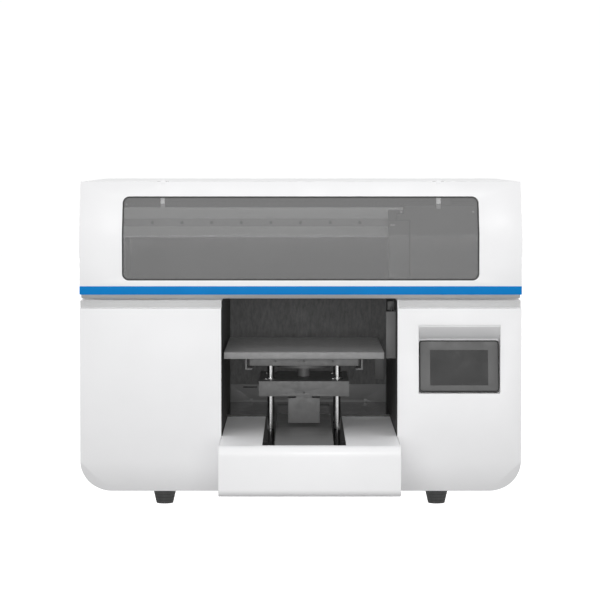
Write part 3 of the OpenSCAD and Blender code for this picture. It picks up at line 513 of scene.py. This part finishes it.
def lift_details():
    """Screws of the bushings' flanges, the rods' ends and collars, a lighter skin on the plate's
    face that paints light on its top, and studs.
    """
    flanges = Pieces("bushing_screws", "zinc_steel", "bed")
    caps = Pieces("rod_ends", "black_rubber", "table")
    collars = Pieces("rod_clamps", "grey_anodised", "table", NODE_FINISH["bed_subplate"])
    low, high = corners("lift_rods")
    bridge_top = corners("lift_bridge")[1].z
    for x in inset(low.x, high.x, ROD_RADIUS):
        for y in inset(low.y, high.y, ROD_RADIUS):
            for offset in (-9.2, 9.2):
                flanges.screw(mm(x + offset, y + offset, bridge_top), UP, *FLANGE_SCREW)
            caps.turned(mm(x, y, low.z - 1.5), UP,
                        [(0, 0), (4.6, 0), (5.6, 1), (5.9, 1.7), (0, 1.7)], 24)
            collars.turned(mm(x, y, high.z - 4), UP,
                           [(0, 0), (9.4, 0), (9.8, 0.4), (9.8, 3.9), (0, 3.9)], 28)
    flanges.done()
    caps.done()
    collars.done()

    # A lighter grey skin over the platen's top: painted light on the top face, a lit copy of the
    # platen's anodising.
    face = Pieces("platen_top_painted_light", "grey_anodised", "table",
                  anodised("platen_top_lit_anodised", grey(150), 0.45, metallic=0.3))
    low, high = corners("platen")
    face.block(mm(low.x + 1.2, low.y + 1.2, high.z - 0.3),
               mm(high.x - 1.2, high.y - 1.2, high.z + 0.1), 0.08 * MM)
    face.done()

    studs = Pieces("platen_studs", "zinc_steel", "table")
    low, high = corners("bed_subplate")
    for x in inset(low.x, high.x, 12):
        for y in (low.y + 75, high.y - 12):
            studs.screw(mm(x, y, low.z), DOWN, 4, 3)
    studs.done()


BED_X = 6.5
RAIL_X = 52
RAIL_TOP = 66
BEAM_RAIL_Z = 538
BEAM_RAIL_FRONT = 10.5
HOLE_RADIUS = 3.2
RAIL_HOLES = 13


def disc(radius, height):
    return [(0, 0), (radius, 0), (radius, height), (0, height)]


def rail_details():
    """Dark discs of painted shade where the rails' counterbored fixing holes are, and the beam's
    end caps.
    """
    # Thin dark discs on the rails where the counterbored holes are: painted shade of the holes.
    hole_shades = Pieces("rail_hole_shades", "black_rubber", "root")
    low, high = corners("linear_rails")
    for side in (-1, 1):
        for y in spread(low.y + 20, high.y - 20, RAIL_HOLES):
            hole_shades.turned(mm(BED_X + side * RAIL_X, y, RAIL_TOP - 0.1), UP,
                         disc(HOLE_RADIUS, 0.15))
    for x in spread(low.x + 20, high.x - 20, RAIL_HOLES):
        hole_shades.turned(mm(x, BEAM_RAIL_FRONT + 0.1, BEAM_RAIL_Z), FRONT, disc(HOLE_RADIUS, 0.2))
    hole_shades.done()

    caps = Pieces("beam_caps", "black_plastic", "root")
    low, high = corners("x_beam")
    for left, right in ((low.x - 3, low.x), (high.x, high.x + 3)):
        caps.block(mm(left, low.y, low.z), mm(right, high.y, high.z), 1.2 * MM)
    caps.done()


INKS = (("cyan", colour(0, 140, 200)), ("magenta", colour(200, 30, 110)),
        ("yellow", colour(235, 200, 30)), ("black", grey(35)), ("white", grey(235)),
        ("varnish", grey(150)))
BOTTLE_X = -285.5
BOTTLE_Y = -137.5
BOTTLE_PITCH = 34
CAP_HEIGHT = 14
CAP_RIBS = 48
RIB_DEPTH = 0.35
CAP_PROFILE = ((12.1, 0.1), (12.4, 1.0), (12.4, 12.4), (11.6, 14.1))


def bottle_details():
    """Ribbed caps, one colour for each ink."""
    base = corners("ink_bottles")[1].z - CAP_HEIGHT
    turns = [2 * math.pi * k / CAP_RIBS for k in range(CAP_RIBS)]
    for i, (ink, tone) in enumerate(INKS):
        x = BOTTLE_X + (i - (len(INKS) - 1) / 2) * BOTTLE_PITCH
        cap = Pieces("cap_" + ink, "bottle_plastic", "root", plastic("cap_" + ink, tone, 0.4))
        rings = [[mm(x + (radius - RIB_DEPTH * (k % 2)) * math.cos(turn),
                     BOTTLE_Y + (radius - RIB_DEPTH * (k % 2)) * math.sin(turn), base + height)
                  for k, turn in enumerate(turns)] for radius, height in CAP_PROFILE]
        ends = [[mm(x, BOTTLE_Y, base + CAP_PROFILE[end][1])] for end in (0, -1)]
        cap.loft([ends[0]] + rings + [ends[1]])
        cap.done(20)


HEAD_WIDTH = 40
NOZZLE_ROWS = 4


def carriage_details():
    """Cover screws, the lamp's fins and glass, and the heads' nozzle strips."""
    low, high = corners("carriage_cover")
    lamp_low, lamp_high = corners("uv_lamp")
    screws = Pieces("cover_screws", "zinc_steel", "carriage")
    for x in inset(low.x, high.x, 8):
        for z in inset(low.z, high.z, 12):
            screws.screw(mm(x, low.y, z), FRONT, 2.6, 1.6)
    for x in (lamp_low.x + 5, lamp_high.x - 30):
        for z in (lamp_low.z + 30, lamp_high.z - 8):
            screws.screw(mm(x, lamp_low.y, z), FRONT, 2, 1.2)
    screws.done()

    fins = Pieces("lamp_fins", "zinc_steel", "carriage")
    for z in spread(lamp_low.z + 42, lamp_high.z - 18, 12):
        fins.block(mm(lamp_low.x - 0.8, lamp_low.y + 4, z),
                   mm(lamp_low.x + 0.2, lamp_high.y - 4, z + 2), 0.3 * MM)
    fins.done()

    glass = Pieces("lamp_glass", "dark_gloss", "carriage")
    glass.block(mm(lamp_low.x + 6, lamp_low.y + 6, lamp_low.z - 1),
                mm(lamp_high.x - 6, lamp_high.y - 6, lamp_low.z + 0.5), 0.3 * MM)
    glass.done()

    nozzles = Pieces("nozzle_plates", "bright_steel", "carriage")
    low, high = corners("print_heads")
    for left in (low.x, high.x - HEAD_WIDTH):
        for row in range(1, NOZZLE_ROWS + 1):
            x = left + 8 * row
            nozzles.block(mm(x - 1.2, low.y + 8, low.z - 0.12),
                          mm(x + 1.2, high.y - 8, low.z + 0.3))
    nozzles.done()


MOTOR_SCREW = (2.2, 1.6)


def motor_details():
    """Corner screws on the faces of the carriage's and the bed's motors."""
    screws = Pieces("motor_screws", "zinc_steel", "root")
    for across in (-15.5, 15.5):
        for up in (-15.5, 15.5):
            screws.screw(mm(-365 + across, 40.5, 589 + up), FRONT, *MOTOR_SCREW)
            screws.screw(mm(18.5, 382.5 + across, 75 + up), LEFT, *MOTOR_SCREW)
    screws.done()


def bay_details():
    """A slot in the rear cover drawn as a dark strip of painted shade, the floor's strip, the
    sensor's gland and eye, and grey strips of painted shade in the brow recesses.
    """
    # The slot is a thin dark strip on the cover's face: painted shade of the slot's opening.
    slot = Pieces("cover_slot_shade", "black_rubber", "root")
    front = corners("bay_rear_cover")[0].y
    slot.block(mm(-123, front - 0.25, 174), mm(-93, front + 0.2, 176.4), 0.1 * MM)
    slot.done()

    strip = Pieces("floor_strip", "dark_cover", "root", powder_coat("strip_paint", grey(116), 0.4))
    low, high = corners("bay_floor")
    strip.block(mm(BED_X - 54.5, low.y + 0.5, 138.9), mm(BED_X + 54.5, high.y - 220, 139.5),
                0.2 * MM)
    strip.done()

    gland = Pieces("sensor_gland", "black_plastic", "root")
    gland.turned(mm(176, -156, 371), UP, [(0, 0), (3.4, 0), (3.4, 3), (2.4, 3.6),
                                          (2.4, 8), (1.6, 8.6), (0, 8.6)])
    gland.block(mm(168, -157, 373), mm(182, -149, 390), 0.8 * MM)
    gland.done()

    # Grey strips in the brow recesses under the hood's lip: painted shade that the lip's overhang
    # casts there.
    brow_shades = Pieces("brow_shade_strips", "grey_lip", "root", powder_coat("brow_shade_paint", grey(194), 0.5))
    for cabinet, gap in (("left_cabinet", 1), ("right_cabinet", 2)):
        low, high = corners(cabinet)
        brow_shades.block(mm(low.x + gap, low.y + 13.4, high.z - 13.6),
                    mm(high.x - gap, low.y + 14.3, high.z - 0.4), 0.3 * MM)
    brow_shades.done()

    eye = Pieces("sensor_eye", "dark_gloss", "root")
    eye.turned(mm(174, -129.6, 346), REAR, [(0, 0), (3, 0), (3.4, 0.6), (0, 0.8)])
    eye.done()


rear_details()
foot_details()
screen_details()
lift_details()
rail_details()
bottle_details()
carriage_details()
motor_details()
bay_details()


# ---- Stage, light and camera ----

STAGE_HALF = 12.0
AIM = (0, 0, 0.3)
CAMERA_PLACE = (-0.0012, -5.2575, 0.6734)
CAMERA_DOWN = 3.153
LENS = 158.3
SKY_FRONT = 0.24
SKY_BACK = 1.02
SKY_TOP = 0.6
KEY_SHARE = 0.11
LIFT_SHARE = 0.32
FILL_SHARE = 0.24


def stage_floor():
    mesh = bpy.data.meshes.new("floor")
    half = STAGE_HALF
    mesh.from_pydata([(-half, -half, 0), (half, -half, 0), (half, half, 0), (-half, half, 0)],
                     [], [(0, 1, 2, 3)])
    floor = bpy.data.objects.new("floor", mesh)
    bpy.context.scene.collection.objects.link(floor)
    surface = Surface("floor_paint", 0.8, Specular_IOR_Level=0.1)
    surface.tint(grey(244), 0.004, 0.5)
    surface.shader.inputs["Emission Color"].default_value = (1, 1, 1, 1)
    surface.shader.inputs["Emission Strength"].default_value = 0.85
    mesh.materials.append(surface.material)
    floor.visible_diffuse = False


def softbox(name, place, target, size, share):
    """An area light that adds the given share of a white surface's full exposure."""
    place, target = Vector(place), Vector(target)
    data = bpy.data.lights.new(name, "AREA")
    data.shape = "RECTANGLE"
    data.size, data.size_y = size
    data.energy = share * math.pi ** 2 * (target - place).length_squared
    lamp = bpy.data.objects.new(name, data)
    lamp.location = place
    lamp.rotation_mode = "QUATERNION"
    lamp.rotation_quaternion = (target - place).to_track_quat("-Z", "Y")
    bpy.context.scene.collection.objects.link(lamp)
    return data


def studio():
    """A sky that is brightest behind and above the object, a key light and a low fill."""
    world = bpy.data.worlds.new("studio")
    world.use_nodes = True
    tree = world.node_tree
    axes = tree.nodes.new("ShaderNodeSeparateXYZ")
    tree.links.new(tree.nodes.new("ShaderNodeTexCoord").outputs["Generated"],
                   axes.inputs["Vector"])

    def rise(axis, start, end, low, high):
        reach = tree.nodes.new("ShaderNodeMapRange")
        for label, value in (("From Min", start), ("From Max", end), ("To Min", low),
                             ("To Max", high)):
            reach.inputs[label].default_value = value
        tree.links.new(axes.outputs[axis], reach.inputs["Value"])
        return reach.outputs["Result"]

    total = tree.nodes.new("ShaderNodeMath")
    tree.links.new(rise("Y", 0.2, 0.8, SKY_FRONT, SKY_BACK), total.inputs[0])
    tree.links.new(rise("Z", 0.5, 1.0, 0.0, SKY_TOP), total.inputs[1])
    background = tree.nodes["Background"]
    background.inputs["Color"].default_value = (1, 1, 1, 1)
    tree.links.new(total.outputs["Value"], background.inputs["Strength"])
    bpy.context.scene.world = world
    softbox("key", (-2.6, -8.0, 4.8), AIM, (3.6, 2.2), KEY_SHARE)
    softbox("lift", (0.8, -8.0, 5.6), AIM, (2.4, 2.0), LIFT_SHARE).use_shadow = False
    softbox("fill", (0, -7.6, 0.75), AIM, (4.4, 0.9), FILL_SHARE)


def camera():
    data = bpy.data.cameras.new("camera")
    data.lens = LENS
    data.sensor_width = 36
    data.clip_end = 100
    made = bpy.data.objects.new("camera", data)
    made.location = CAMERA_PLACE
    made.rotation_euler = (math.radians(90 - CAMERA_DOWN), 0, 0)
    bpy.context.scene.collection.objects.link(made)
    bpy.context.scene.camera = made


stage_floor()
studio()
camera()
bpy.context.scene.view_settings.view_transform = "Standard"
